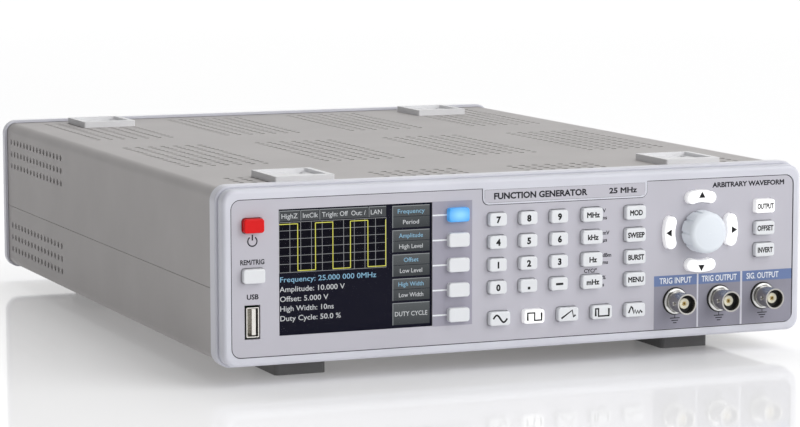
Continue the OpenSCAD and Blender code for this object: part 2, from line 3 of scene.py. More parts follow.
import bpy
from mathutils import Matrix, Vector


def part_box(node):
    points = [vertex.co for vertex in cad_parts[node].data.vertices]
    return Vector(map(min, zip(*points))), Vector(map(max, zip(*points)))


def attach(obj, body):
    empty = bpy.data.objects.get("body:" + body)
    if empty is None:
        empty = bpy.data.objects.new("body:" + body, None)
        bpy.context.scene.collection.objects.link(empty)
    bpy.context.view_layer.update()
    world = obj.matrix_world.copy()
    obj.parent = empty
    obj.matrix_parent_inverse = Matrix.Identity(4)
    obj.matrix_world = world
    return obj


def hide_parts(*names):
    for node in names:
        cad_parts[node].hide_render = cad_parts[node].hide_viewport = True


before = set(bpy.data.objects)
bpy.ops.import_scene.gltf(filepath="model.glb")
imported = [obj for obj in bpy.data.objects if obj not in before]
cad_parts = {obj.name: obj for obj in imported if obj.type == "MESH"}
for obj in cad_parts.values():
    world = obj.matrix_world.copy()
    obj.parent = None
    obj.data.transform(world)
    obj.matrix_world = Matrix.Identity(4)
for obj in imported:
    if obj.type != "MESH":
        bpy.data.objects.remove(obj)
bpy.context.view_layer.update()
MM = 0.001

# ---------------------------------------------------------------------------
# Camera, light and table top.
# A long lens stands left of the front and a little above the instrument. The
# light is soft and white all round, with the strongest lamp high on the right.
# ---------------------------------------------------------------------------
FACE_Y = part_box("front_panel")[0].y
REAR_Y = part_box("rear_panel")[1].y
MID_Z = (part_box("front_frame")[0].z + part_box("front_frame")[1].z) / 2

scene = bpy.context.scene
scene.view_settings.view_transform = "Standard"
CAMERA_LEFT, CAMERA_AHEAD, CAMERA_ABOVE = 0.5436, 1.1821, 0.1768
CAMERA_TILT, CAMERA_ROLL, CAMERA_TURN = 6.78, 0.07, 22.29
LENS = 132.14
bpy.ops.object.camera_add(
    location=(-CAMERA_LEFT, FACE_Y - CAMERA_AHEAD, MID_Z + CAMERA_ABOVE),
    rotation=(radians(90 - CAMERA_TILT), radians(CAMERA_ROLL), radians(-CAMERA_TURN)),
)
camera = bpy.context.object
camera.data.lens = LENS
camera.data.clip_start = 0.05
scene.camera = camera


def lamp(name, place, size, power):
    """A square soft lamp that faces the middle of the instrument."""
    aim = (Vector((0, 0, MID_Z)) - Vector(place)).to_track_quat("-Z", "Y")
    bpy.ops.object.light_add(type="AREA", location=place, rotation=aim.to_euler())
    bpy.context.object.name = name
    bpy.context.object.data.size = size
    bpy.context.object.data.energy = power


lamp("front_lamp", (0.8, -1.2, 0.95), 1.4, 14)
lamp("top_lamp", (0.3, 0.5, 2.2), 1.6, 13)


def link(tree, source, target):
    """Joins one node's output to another node's input."""
    tree.links.new(source, target)


world = bpy.data.worlds.new("studio")
world.use_nodes = True
studio = world.node_tree
direction = studio.nodes.new("ShaderNodeTexCoord").outputs["Generated"]
axes = studio.nodes.new("ShaderNodeSeparateXYZ")
link(studio, direction, axes.inputs["Vector"])
sky = studio.nodes.new("ShaderNodeValToRGB")
sky.color_ramp.elements[0].position = 0.22
sky.color_ramp.elements[0].color = (1, 1, 1, 1)
sky.color_ramp.elements[1].position = 0.5
sky.color_ramp.elements[1].color = (0.42, 0.42, 0.42, 1)
link(studio, axes.outputs["Z"], sky.inputs["Fac"])
link(studio, sky.outputs["Color"], studio.nodes["Background"].inputs["Color"])
side = studio.nodes.new("ShaderNodeMapRange")
side.inputs["From Min"].default_value = -0.8
side.inputs["From Max"].default_value = 0.2
side.inputs["To Min"].default_value = 0.31
side.inputs["To Max"].default_value = 1.15
link(studio, axes.outputs["X"], side.inputs["Value"])
link(studio, side.outputs["Result"], studio.nodes["Background"].inputs["Strength"])
scene.world = world


def grained(name, colour, rough, grain=0.5, relief=0.02, mottle=0.04, metal=0.0):
    """A finish with a fine grain in its relief and a faint cloudiness in colour and gloss."""
    material = bpy.data.materials.new(name)
    material.use_nodes = True
    tree = material.node_tree
    shader = tree.nodes["Principled BSDF"]
    shader.inputs["Metallic"].default_value = metal
    place = tree.nodes.new("ShaderNodeTexCoord").outputs["Object"]
    grain_noise = tree.nodes.new("ShaderNodeTexNoise")
    grain_noise.inputs["Scale"].default_value = 1 / (grain * MM)
    grain_noise.inputs["Detail"].default_value = 2
    link(tree, place, grain_noise.inputs["Vector"])
    bump = tree.nodes.new("ShaderNodeBump")
    bump.inputs["Strength"].default_value = 0.5
    bump.inputs["Distance"].default_value = relief * MM
    link(tree, grain_noise.outputs["Fac"], bump.inputs["Height"])
    link(tree, bump.outputs["Normal"], shader.inputs["Normal"])
    cloud = tree.nodes.new("ShaderNodeTexNoise")
    cloud.inputs["Scale"].default_value = 28
    cloud.inputs["Detail"].default_value = 4
    link(tree, place, cloud.inputs["Vector"])
    tint = tree.nodes.new("ShaderNodeValToRGB")
    tint.color_ramp.elements[0].position = 0.3
    tint.color_ramp.elements[1].position = 0.7
    for stop, share in zip(tint.color_ramp.elements, (1 - mottle, 1 + mottle)):
        stop.color = (*[min(1, c * share) for c in colour], 1)
    link(tree, cloud.outputs["Fac"], tint.inputs["Fac"])
    link(tree, tint.outputs["Color"], shader.inputs["Base Color"])
    gloss = tree.nodes.new("ShaderNodeMapRange")
    gloss.inputs["To Min"].default_value = rough * 0.88
    gloss.inputs["To Max"].default_value = min(1, rough * 1.12)
    link(tree, grain_noise.outputs["Fac"], gloss.inputs["Value"])
    link(tree, gloss.outputs["Result"], shader.inputs["Roughness"])
    return material


def coat_node(node, material):
    """Gives a CAD node its finish."""
    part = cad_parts[node]
    part.data.materials.clear()
    part.data.materials.append(material)


def nothing_selected():
    """Leaves no object selected, so that an operator acts on the next new piece alone."""
    bpy.ops.object.select_all(action="DESELECT")


nothing_selected()
bpy.ops.mesh.primitive_plane_add(size=16, location=(0, 3, 0))
table_top = bpy.context.object
table_top.name = "table_top"
glossy_white = bpy.data.materials.new("glossy_white")
glossy_white.use_nodes = True
floor_tree = glossy_white.node_tree
floor_inputs = floor_tree.nodes["Principled BSDF"].inputs
floor_inputs["Base Color"].default_value = (0.93, 0.93, 0.935, 1)
floor_inputs["Roughness"].default_value = 0.06
floor_inputs["IOR"].default_value = 1.16
floor_inputs["Emission Color"].default_value = (1, 1, 1, 1)
floor_place = floor_tree.nodes.new("ShaderNodeTexCoord").outputs["Object"]
floor_axes = floor_tree.nodes.new("ShaderNodeSeparateXYZ")
link(floor_tree, floor_place, floor_axes.inputs["Vector"])
# Painted light: the sheet glows a little, most on the left, to lift the shade that the case casts there.
floor_painted_light = floor_tree.nodes.new("ShaderNodeMapRange")
floor_painted_light.interpolation_type = "SMOOTHSTEP"
floor_painted_light.inputs["From Min"].default_value = -0.35
floor_painted_light.inputs["From Max"].default_value = 0.15
floor_painted_light.inputs["To Min"].default_value = 0.24
floor_painted_light.inputs["To Max"].default_value = 0.09
link(floor_tree, floor_axes.outputs["X"], floor_painted_light.inputs["Value"])
link(floor_tree, floor_painted_light.outputs["Result"], floor_inputs["Emission Strength"])
table_top.data.materials.append(glossy_white)

# ---------------------------------------------------------------------------
# Covers.
# Two folded steel sheets, painted warm grey, meet in a seam along each side.
# Rows of round holes are punched in the top and in the sides.
# ---------------------------------------------------------------------------
cover_paint = grained("cover_paint", (0.445, 0.425, 0.42), 0.52, grain=0.7, relief=0.03)
coat_node("top_cover", cover_paint)
coat_node("bottom_cover", cover_paint)

# ---------------------------------------------------------------------------
# Frames and stacking lugs.
# Moulded off-white plastic with a fine spark-eroded texture. The front frame
# is the bezel and, behind a groove, the widest rim; the lugs clip into the top.
# ---------------------------------------------------------------------------
frame_plastic = grained("frame_plastic", (0.645, 0.65, 0.715), 0.3, grain=0.45, relief=0.01)
lug_plastic = grained("lug_plastic", (0.80, 0.80, 0.815), 0.42, grain=0.45, relief=0.015)
coat_node("front_frame", frame_plastic)
coat_node("rear_frame", frame_plastic)
coat_node("stacking_lugs", lug_plastic)

# ---------------------------------------------------------------------------
# Front panel and its print.
# A lavender-grey printed film on the panel moulding. Darker fields mark the
# soft keys and the sockets, and all lettering is printed on the film.
# ---------------------------------------------------------------------------
INK = 0.03
CAP_SHARE = 0.7


def face(x, z, rise=0.0):
    """A point in front of the panel's face, from millimetres off the frame's middle."""
    return Vector((x * MM, FACE_Y - rise * MM, MID_Z + z * MM))


def rear_face(x, z, rise=0.0):
    """A point behind the rear panel's outer face, measured in the same way."""
    return Vector((x * MM, REAR_Y + rise * MM, MID_Z + z * MM))


def settle(name=None):
    """Moves the active piece's place, turn and size into its mesh."""
    bpy.ops.object.transform_apply(location=True, rotation=True, scale=True)
    if name:
        bpy.context.object.name = name
    return bpy.context.object


def join(name, parts):
    """Makes one named piece of several."""
    nothing_selected()
    for part in parts:
        part.select_set(True)
    bpy.context.view_layer.objects.active = parts[0]
    if len(parts) > 1:
        bpy.ops.object.join()
    bpy.context.object.name = name
    return bpy.context.object


def patch(x0, x1, z0, z1, rise=0.0, thick=INK):
    """A thin printed field between two corners, its face at the given rise."""
    nothing_selected()
    centre = face((x0 + x1) / 2, (z0 + z1) / 2, rise + thick / 2)
    bpy.ops.mesh.primitive_cube_add(size=1, location=centre)
    bpy.context.object.scale = ((x1 - x0) * MM, thick * MM, (z1 - z0) * MM)
    return settle()


def lettering(words, x, z, height, width=None, rise=0.0, bold=0.08, side="CENTER", back=False):
    """Printed words with their middle height at z; width stretches them to fit."""
    nothing_selected()
    place = (rear_face if back else face)(x, z - height / 2, rise + INK / 2)
    bpy.ops.object.text_add(location=place, rotation=(radians(90), 0, pi if back else 0))
    text = bpy.context.object
    text.data.body = words
    text.data.size = height * MM / CAP_SHARE
    text.data.align_x = side
    text.data.extrude = INK / 2 * MM
    text.data.bevel_depth = bold * MM
    text.data.bevel_resolution = 0
    text.data.resolution_u = 3
    text.scale.z = INK / (INK + 2 * bold)
    if width:
        bpy.context.view_layer.update()
        text.scale.x = width * MM / text.dimensions.x
    bpy.ops.object.convert(target="MESH")
    bpy.ops.object.mode_set(mode="EDIT")
    bpy.ops.mesh.select_all(action="SELECT")
    bpy.ops.mesh.remove_doubles(threshold=0.000001)
    bpy.ops.object.mode_set(mode="OBJECT")
    return settle()


def stroke(points, width, x, z, rise=0.0, closed=False):
    """A printed line through points in millimetres about (x, z), flattened to a film."""
    nothing_selected()
    line = bpy.data.curves.new("stroke", "CURVE")
    line.dimensions = "3D"
    line.bevel_depth = width / 2 * MM
    line.bevel_resolution = 1
    line.use_fill_caps = True
    spline = line.splines.new("POLY")
    spline.points.add(len(points) - 1)
    spline.use_cyclic_u = closed
    for point, (px, pz) in zip(spline.points, points):
        point.co = (px * MM, 0, pz * MM, 1)
    drawn = bpy.data.objects.new("stroke", line)
    scene.collection.objects.link(drawn)
    bpy.context.view_layer.objects.active = drawn
    drawn.select_set(True)
    drawn.location = face(x, z, rise + INK / 2)
    drawn.scale.y = INK / width
    bpy.ops.object.convert(target="MESH")
    return settle()


def finish_piece(piece, material, body):
    """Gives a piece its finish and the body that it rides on."""
    piece.data.materials.clear()
    piece.data.materials.append(material)
    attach(piece, body)
    return piece


def ink(name, colour):
    """A matt printing ink, also used for thin lines of painted shade."""
    material = grained(name, colour, 0.55, grain=0.3, relief=0.006, mottle=0.06)
    material.node_tree.nodes["Principled BSDF"].inputs["Specular IOR Level"].default_value = 0.2
    return material


panel_film = grained("panel_film", (0.515, 0.505, 0.56), 0.42, grain=0.3, relief=0.006, mottle=0.02)
strip_ink = ink("strip_ink", (0.35, 0.34, 0.405))
socket_ink = ink("socket_ink", (0.285, 0.28, 0.335))
blue_ink = ink("blue_ink", (0.155, 0.215, 0.40))
pale_ink = ink("pale_ink", (0.66, 0.66, 0.73))
white_ink = ink("white_ink", (0.85, 0.87, 0.9))
# Black for the print, and for the line of painted shade in the gap round the panel.
print_and_shade_black = ink("print_and_shade_black", (0.02, 0.02, 0.026))
# Grey for the line of painted shade in the groove round the name plate.
groove_shade_grey = ink("groove_shade_grey", (0.09, 0.09, 0.105))
coat_node("front_panel", panel_film)

SOFT_ROWS = (23.3, 12.15, 1.0, -10.15, -21.3)
soft_strip = patch(-43.8, -24.7, -26.2, 29.4)
finish_piece(join("soft_key_strip", [soft_strip]), strip_ink, "case")
soft_lines = [patch(-43.8, -36.5, z - 0.35, z + 0.35, INK) for z in SOFT_ROWS]
finish_piece(join("soft_key_lines", soft_lines), white_ink, "case")

SOCKET_FIELDS = ((65.8, 87.8, 76.8), (88.6, 110.3, 99.4), (111.4, 137.3, 122.0))
socket_fields = [patch(x0, x1, -34.3, -14.5) for x0, x1, _ in SOCKET_FIELDS]
finish_piece(join("socket_fields", socket_fields), socket_ink, "case")
socket_headers = [patch(x0, x1, -14.5, -9.7) for x0, x1, _ in SOCKET_FIELDS]
finish_piece(join("socket_headers", socket_headers), blue_ink, "case")
socket_dividers = [patch(x - 0.4, x + 0.4, -34.3, -9.7) for x in (88.2, 110.85)]
finish_piece(join("socket_dividers", socket_dividers), pale_ink, "case")

SOCKET_NAMES = (("TRIG INPUT", 16.5), ("TRIG OUTPUT", 18.2), ("SIG. OUTPUT", 16.8))
socket_words = [
    lettering(words, x, -12.1, 2.7, width, INK, 0.05)
    for (words, width), (_, _, x) in zip(SOCKET_NAMES, SOCKET_FIELDS)
]
finish_piece(join("socket_lettering", socket_words), white_ink, "case")

BNC_X = (76.6, 99.3, 122.0)
BNC_Z = -21.6
ground_marks = []
for x in BNC_X:
    ground_marks.append(patch(x - 0.15, x + 0.15, -29.5, -27.4, INK))
    for drop, half in ((0, 2.5), (1.1, 1.7), (2.2, 0.9)):
        ground_marks.append(patch(x - half, x + half, -29.7 - drop, -29.3 - drop, INK))
finish_piece(join("ground_marks", ground_marks), print_and_shade_black, "case")

UNIT_ROWS = (20.3, 10.15, 0.0, -10.15)
SMALL_UNITS = (("V", "ns"), ("mV", "µs"), ("dBm", "ms"), ("%", "s"))
small_words = [lettering("CYC/°", 33.6, -5.35, 1.7, bold=0.07)]
for row, (upper, lower) in zip(UNIT_ROWS, SMALL_UNITS):
    small_words.append(lettering(upper, 39.6, row + 1.4, 1.7, bold=0.07, side="LEFT"))
    small_words.append(lettering(lower, 39.6, row - 1.8, 1.7, bold=0.07, side="LEFT"))
finish_piece(join("unit_lettering", small_words), print_and_shade_black, "case")

TAB = (-19.6, 61.8, 26.9, 34.05)
TAB_R = 3
BEZEL_RISE = 0.3
panel_words = [
    lettering("REM/TRIG", -127.9, 7.0, 2.1, 11.0, bold=0.09),
    lettering("USB", -127.9, -8.1, 2.1, 5.4, bold=0.1),
    lettering("ARBITRARY WAVEFORM", 114.2, 30.9, 2.2, 37.5, bold=0.12),
    lettering("FUNCTION GENERATOR", 8.5, 30.6, 2.7, 46, rise=BEZEL_RISE + INK, bold=0.15),
    lettering("25 MHz", 49.5, 30.6, 2.4, 14, rise=BEZEL_RISE + INK, bold=0.12),
]
ring = [(2.1 * sin(radians(a)), 2.1 * cos(radians(a))) for a in range(35, 326, 10)]
panel_words.append(stroke(ring, 0.65, -127.8, 16.0))
panel_words.append(stroke([(0, 0.4), (0, 2.9)], 0.65, -127.8, 16.0))
finish_piece(join("panel_lettering", panel_words), print_and_shade_black, "case")


def rounded_path(corners):
    """Points round corners given as (x, z, radius, first angle, turn), each turned through 90 degrees."""
    return [
        (x + r * cos(radians(start + turn * i / 6)), z + r * sin(radians(start + turn * i / 6)))
        for x, z, r, start, turn in corners
        for i in range(7)
    ]


# A thin dark line of painted shade runs round the panel's edge, in the gap to the bezel and round the
# tab.
PANEL_HALF = (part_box("front_panel")[1].x / MM - 0.1, 34.05)
PANEL_R = 4.1
end_x, end_z = PANEL_HALF[0] - PANEL_R, PANEL_HALF[1] - PANEL_R
edge_corners = [
    (TAB[0] + TAB_R, TAB[2] + TAB_R, TAB_R + 0.15, 180, 90),
    (TAB[1] - TAB_R, TAB[2] + TAB_R, TAB_R + 0.15, 270, 90),
    (end_x, end_z, PANEL_R, 90, -90),
    (end_x, -end_z - 0.5, PANEL_R, 0, -90),
    (-end_x, -end_z - 0.5, PANEL_R, 270, -90),
    (-end_x, end_z, PANEL_R, 180, -90),
]
edge_points = rounded_path(edge_corners[:2]) + [(TAB[1] + 0.15, PANEL_HALF[1])]
edge_points += rounded_path(edge_corners[2:]) + [(TAB[0] - 0.15, PANEL_HALF[1])]
panel_gap_shade = stroke(edge_points, 0.3, 0, 0, closed=True)
finish_piece(join("panel_gap_shade_line", [panel_gap_shade]), print_and_shade_black, "case")

# A grey line of painted shade marks the groove between the name plate and its tab.
plate_corners = [
    (TAB[0] + TAB_R, TAB[2] + TAB_R, TAB_R - 0.9, 180, 90),
    (TAB[1] - TAB_R - 0.3, TAB[2] + TAB_R, TAB_R - 0.9, 270, 90),
    (TAB[1] - TAB_R - 0.3, TAB[3] - 0.6, TAB_R - 0.9, 0, 0),
    (TAB[0] + TAB_R, TAB[3] - 0.6, TAB_R - 0.9, 180, 0),
]
plate_shade_line = stroke(rounded_path(plate_corners), 0.22, 0, 0, BEZEL_RISE, closed=True)
finish_piece(join("name_plate_shade_line", [plate_shade_line]), groove_shade_grey, "case")
name_plate = patch(TAB[0] + 0.9, TAB[1] - 1.2, TAB[2] + 0.9, TAB[3] - 0.6, BEZEL_RISE)
finish_piece(join("name_plate", [name_plate]), panel_film, "case")

# ---------------------------------------------------------------------------
# Display.
# A colour display behind a clear window: a header, a square wave on a grid,
# five lines of readings and a column of soft-key labels.
# ---------------------------------------------------------------------------
PICTURE_RISE = -2.2
SHIFT_X = 0.85
SHIFT_Z = -0.3


def glowing(name, colour):
    """A lit picture element, with the display's fine pixel raster in it."""
    material = bpy.data.materials.new(name)
    material.use_nodes = True
    tree = material.node_tree
    shader = tree.nodes["Principled BSDF"]
    shader.inputs["Base Color"].default_value = (0.004, 0.004, 0.004, 1)
    shader.inputs["Roughness"].default_value = 0.6
    shader.inputs["Specular IOR Level"].default_value = 0.03
    shader.inputs["Emission Color"].default_value = (*colour, 1)
    place = tree.nodes.new("ShaderNodeTexCoord").outputs["Object"]
    raster = tree.nodes.new("ShaderNodeTexChecker")
    raster.inputs["Scale"].default_value = 1 / (0.22 * MM)
    raster.inputs["Color1"].default_value = (1, 1, 1, 1)
    raster.inputs["Color2"].default_value = (0.86, 0.86, 0.86, 1)
    link(tree, place, raster.inputs["Vector"])
    link(tree, raster.outputs["Color"], shader.inputs["Emission Strength"])
    return material


def picture(x0, x1, z0, z1, layer=0):
    """A flat element of the picture; a higher layer lies over a lower one."""
    rise = PICTURE_RISE + layer * INK
    return patch(x0 + SHIFT_X, x1 + SHIFT_X, z0 + SHIFT_Z, z1 + SHIFT_Z, rise)


def reading(words, x, z, height, width=None, side="LEFT"):
    """Words in the picture, over all its layers."""
    rise = PICTURE_RISE + 3 * INK
    return lettering(words, x + SHIFT_X, z + SHIFT_Z, height, width, rise, 0.012, side)


screen_navy = glowing("screen_navy", (0.007, 0.007, 0.016))
screen_black = glowing("screen_black", (0.002, 0.002, 0.006))
screen_header = glowing("screen_header", (0.075, 0.08, 0.085))
screen_white = glowing("screen_white", (0.62, 0.64, 0.66))
screen_blue = glowing("screen_blue", (0.27, 0.50, 0.68))
screen_grid = glowing("screen_grid", (0.36, 0.37, 0.38))
screen_yellow = glowing("screen_yellow", (0.74, 0.72, 0.13))
screen_edge = glowing("screen_edge", (0.33, 0.35, 0.36))
finish_piece(join("screen_ground", [picture(-116.6, -44.4, -26.4, 29.8)]), screen_navy, "case")

GRAPH_X = (-115.7, -65.8)
GRAPH_Z = (1.6, 23.5)
graph_field = picture(*GRAPH_X, *GRAPH_Z, 1)
finish_piece(join("screen_graph_field", [graph_field]), screen_black, "case")

# Header boxes and soft-key labels are grey buttons with a lit top and left edge.
HEADER_EDGES = (-115.7, -105.9, -97.1, -74.1, -65.6)
HEADER_Z = (24.0, 28.6)
HEADER_GAP = 0.15
EDGE_WIDTH = 0.3
header_x = [(x0 + HEADER_GAP, x1 - HEADER_GAP) for x0, x1 in zip(HEADER_EDGES, HEADER_EDGES[1:])]
header_boxes = [picture(*x, *HEADER_Z, 1) for x in header_x]
finish_piece(join("screen_header_boxes", header_boxes), screen_header, "case")

GRID_COLUMNS, GRID_ROWS = 10, 6
GRID_HALF = 0.09
grid_lines = []
for i in range(GRID_COLUMNS + 1):
    x = GRAPH_X[0] + i * (GRAPH_X[1] - GRAPH_X[0]) / GRID_COLUMNS
    grid_lines.append(picture(x - GRID_HALF, x + GRID_HALF, *GRAPH_Z, 2))
for i in range(GRID_ROWS + 1):
    z = GRAPH_Z[0] + i * (GRAPH_Z[1] - GRAPH_Z[0]) / GRID_ROWS
    grid_lines.append(picture(*GRAPH_X, z - GRID_HALF, z + GRID_HALF, 2))
finish_piece(join("screen_grid_lines", grid_lines), screen_grid, "case")

WAVE_EDGES = (-115.6, -107.1, -98.9, -90.8, -82.6, -74.4, -66.0)
WAVE_HIGH = 22.7
WAVE_LOW = 2.2
TRACE_HALF = 0.18
trace = []
for i, (start, end) in enumerate(zip(WAVE_EDGES, WAVE_EDGES[1:])):
    level = WAVE_LOW if i % 2 else WAVE_HIGH
    trace.append(picture(start, end, level - TRACE_HALF, level + TRACE_HALF, 3))
    trace.append(picture(end - TRACE_HALF, end + TRACE_HALF, WAVE_LOW, WAVE_HIGH, 3))
finish_piece(join("screen_trace", trace), screen_yellow, "case")

box_edges = [picture(*x, HEADER_Z[1] - EDGE_WIDTH, HEADER_Z[1], 2) for x in header_x]
box_edges += [picture(left, left + 0.25, *HEADER_Z, 2) for left, _ in header_x]

MENU_TOP = 28.4
MENU_PITCH = 10.78
MENU_X = (-62.8, -45.1)
MENU_MIDDLE = -54
MENU_HEIGHT = 9.75
MENU_SPLIT = 4.85
MENU_GAP = 0.1
menu_tops = [MENU_TOP - i * MENU_PITCH for i in range(5)]
menu_boxes = []
for top in menu_tops[:-1]:
    middle = top - MENU_SPLIT
    menu_boxes.append(picture(*MENU_X, middle + MENU_GAP, top, 1))
    menu_boxes.append(picture(*MENU_X, top - MENU_HEIGHT, middle - MENU_GAP, 1))
menu_boxes.append(picture(*MENU_X, menu_tops[-1] - MENU_HEIGHT, menu_tops[-1], 1))
for top in menu_tops:
    box_edges.append(picture(*MENU_X, top - EDGE_WIDTH, top, 2))
    box_edges.append(picture(MENU_X[0], MENU_X[0] + EDGE_WIDTH, top - MENU_HEIGHT, top, 2))

# The labels' grey fades downwards within each pitch of the column.
screen_menu = glowing("screen_menu", (0.1, 0.11, 0.12))
menu_tree = screen_menu.node_tree
menu_axes = menu_tree.nodes.new("ShaderNodeSeparateXYZ")
link(menu_tree, menu_tree.nodes.new("ShaderNodeTexCoord").outputs["Object"], menu_axes.inputs["Vector"])
pitches = menu_tree.nodes.new("ShaderNodeMath")
pitches.operation = "MULTIPLY_ADD"
pitches.inputs[1].default_value = -1 / (MENU_PITCH * MM)
pitches.inputs[2].default_value = (face(0, MENU_TOP + SHIFT_Z).z + 0.0001) / (MENU_PITCH * MM)
link(menu_tree, menu_axes.outputs["Z"], pitches.inputs[0])
within = menu_tree.nodes.new("ShaderNodeMath")
within.operation = "FRACT"
link(menu_tree, pitches.outputs["Value"], within.inputs[0])
fade = menu_tree.nodes.new("ShaderNodeValToRGB")
fade.color_ramp.elements[0].color = (0.115, 0.125, 0.13, 1)
fade.color_ramp.elements[1].color = (0.05, 0.055, 0.06, 1)
link(menu_tree, within.outputs["Value"], fade.inputs["Fac"])
link(menu_tree, fade.outputs["Color"], menu_tree.nodes["Principled BSDF"].inputs["Emission Color"])
finish_piece(join("screen_menu_boxes", menu_boxes), screen_menu, "case")
finish_piece(join("screen_box_edges", box_edges), screen_edge, "case")

READINGS = (
    ("Frequency: 25.000 000 0MHz", 44.8),
    ("Amplitude: 10.000 V", 30.3),
    ("Offset: 5.000 V", 22.4),
    ("High Width: 10ns", 24.8),
    ("Duty Cycle: 50.0 %", 28.1),
)
READING_X, READING_TOP, READING_PITCH = -115.6, -1.4, 4.25
MENU_LABELS = (
    ("Frequency", 12.8, "Period", 7.6),
    ("Amplitude", 11.4, "High Level", 11.2),
    ("Offset", 7.0, "Low Level", 10.6),
    ("High Width", 12.0, "Low Width", 11.6),
)
HEADER_LABELS = (
    ("HighZ", -110.9, 7.4),
    ("IntClk", -101.3, 7.0),
    ("TrigIn: Off  Out: /", -85.6, 20.4),
    ("LAN", -70.4, 5.2),
)
screen_words = [
    reading(words, READING_X, READING_TOP - i * READING_PITCH, 2.3, width)
    for i, (words, width) in enumerate(READINGS)
]
blue_words = [screen_words[0]]
white_words = screen_words[1:]
for top, (upper, upper_width, lower, lower_width) in zip(menu_tops, MENU_LABELS):
    blue_words.append(reading(upper, MENU_MIDDLE, top - 2.5, 1.9, upper_width, "CENTER"))
    white_words.append(reading(lower, MENU_MIDDLE, top - 7.3, 1.9, lower_width, "CENTER"))
white_words.append(reading("DUTY CYCLE", MENU_MIDDLE, menu_tops[-1] - 4.9, 2.0, 15.5, "CENTER"))
for words, x, width in HEADER_LABELS:
    white_words.append(reading(words, x, 26.2, 2.1, width, "CENTER"))
finish_piece(join("screen_white_words", white_words), screen_white, "case")
finish_piece(join("screen_blue_words", blue_words), screen_blue, "case")

window_clear = bpy.data.materials.new("window_clear")
window_clear.use_nodes = True
clear_shader = window_clear.node_tree.nodes["Principled BSDF"]
clear_shader.inputs["Base Color"].default_value = (0.02, 0.02, 0.03, 1)
clear_shader.inputs["Roughness"].default_value = 0.12
clear_shader.inputs["Specular IOR Level"].default_value = 0.04
clear_shader.inputs["Alpha"].default_value = 0.02
coat_node("display_window", window_clear)
display_black = grained("display_black", (0.012, 0.012, 0.016), 0.4)
coat_node("display_module", display_black)

# ---------------------------------------------------------------------------
# Keys.
# Injection-moulded caps, off-white and slightly translucent, each with its
# legend printed on the face. The lit ones have a lamp behind them.
# ---------------------------------------------------------------------------
KEY_RISE = 2.7


def lit(name, colour, strength):
    """A translucent cap with a lamp behind it."""
    material = grained(name, colour, 0.3, grain=0.35, relief=0.006, mottle=0.01)
    shader = material.node_tree.nodes["Principled BSDF"]
    shader.inputs["Emission Color"].default_value = (*colour, 1)
    shader.inputs["Emission Strength"].default_value = strength
    return material


key_plastic = grained("key_plastic", (0.775, 0.79, 0.815), 0.3, grain=0.35, relief=0.006, mottle=0.01)
lit_white = lit("lit_white", (1, 1, 1), 0.26)
lit_blue = lit("lit_blue", (0.05, 0.27, 0.56), 0.7)
glow_tree = lit_blue.node_tree
glow_centre = glow_tree.nodes.new("ShaderNodeMapping")
glow_centre.vector_type = "TEXTURE"
soft_low, soft_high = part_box("soft_key_1")
glow_centre.inputs["Location"].default_value = (soft_low + soft_high) / 2 + Vector((0.0004, 0, 0))
glow_centre.inputs["Scale"].default_value = (6.2 * MM, 40 * MM, 3.6 * MM)
link(glow_tree, glow_tree.nodes.new("ShaderNodeTexCoord").outputs["Object"], glow_centre.inputs["Vector"])
glow_spot = glow_tree.nodes.new("ShaderNodeTexGradient")
glow_spot.gradient_type = "SPHERICAL"
link(glow_tree, glow_centre.outputs["Vector"], glow_spot.inputs["Vector"])
glow_ramp = glow_tree.nodes.new("ShaderNodeValToRGB")
glow_ramp.color_ramp.elements[0].color = (0.02, 0.19, 0.50, 1)
glow_ramp.color_ramp.elements[1].color = (0.34, 0.62, 0.95, 1)
glow_ramp.color_ramp.elements[1].position = 0.8
link(glow_tree, glow_spot.outputs["Fac"], glow_ramp.inputs["Fac"])
link(glow_tree, glow_ramp.outputs["Color"], glow_tree.nodes["Principled BSDF"].inputs["Emission Color"])
button_red = grained("button_red", (0.70, 0.004, 0.005), 0.35, grain=0.35, relief=0.006, mottle=0.02)
button_red.node_tree.nodes["Principled BSDF"].inputs["Specular IOR Level"].default_value = 0.25
legend_ink = ink("legend_ink", (0.012, 0.012, 0.013))


def key_legend(node, parts):
    """Prints a legend on a key, so that it moves with the key."""
    finish_piece(join(node + "_legend", parts), legend_ink, node)


coat_node("power_button", button_red)
coat_node("remote_key", key_plastic)
coat_node("soft_key_1", lit_blue)
for number in range(2, 6):
    coat_node(f"soft_key_{number}", key_plastic)

DIGIT_X = (-13.1, 1.9, 17.0)
DIGITS = ("789", "456", "123", "0.-")
DIGIT_NODES = {".": "digit_point", "-": "digit_minus"}
MINUS_HALF = 1.8
POINT_HALF = 0.6
for z, row in zip(UNIT_ROWS, DIGITS):
    for x, sign in zip(DIGIT_X, row):
        node = DIGIT_NODES.get(sign, "digit_" + sign)
        coat_node(node, key_plastic)
        if sign == "-":
            key_legend(node, [patch(x - MINUS_HALF, x + MINUS_HALF, z - 0.5, z + 0.5, KEY_RISE)])
        elif sign == ".":
            key_legend(node, [patch(x - POINT_HALF, x + POINT_HALF, z - 1.6, z - 0.4, KEY_RISE)])
        else:
            key_legend(node, [lettering(sign, x, z, 2.7, rise=KEY_RISE, bold=0.2)])

WORD_KEYS = (
    ("unit_key_1", "MHz", 33.5, 0, 6.4),
    ("unit_key_2", "kHz", 33.5, 1, 5.4),
    ("unit_key_3", "Hz", 33.5, 2, 3.8),
    ("unit_key_4", "mHz", 33.5, 3, 6.4),
    ("mod_key", "MOD", 55.2, 0, 6.4),
    ("sweep_key", "SWEEP", 55.2, 1, 8.4),
    ("burst_key", "BURST", 55.2, 2, 8.0),
    ("menu_key", "MENU", 55.2, 3, 7.8),
    ("output_key", "OUTPUT", 121.7, 0, 8.4),
    ("offset_key", "OFFSET", 121.7, 1, 8.4),
    ("invert_key", "INVERT", 121.7, 2, 7.8),
)
for node, words, x, row, width in WORD_KEYS:
    coat_node(node, lit_white if node == "output_key" else key_plastic)
    key_legend(node, [lettering(words, x, UNIT_ROWS[row], 2.3, width, KEY_RISE, 0.13)])

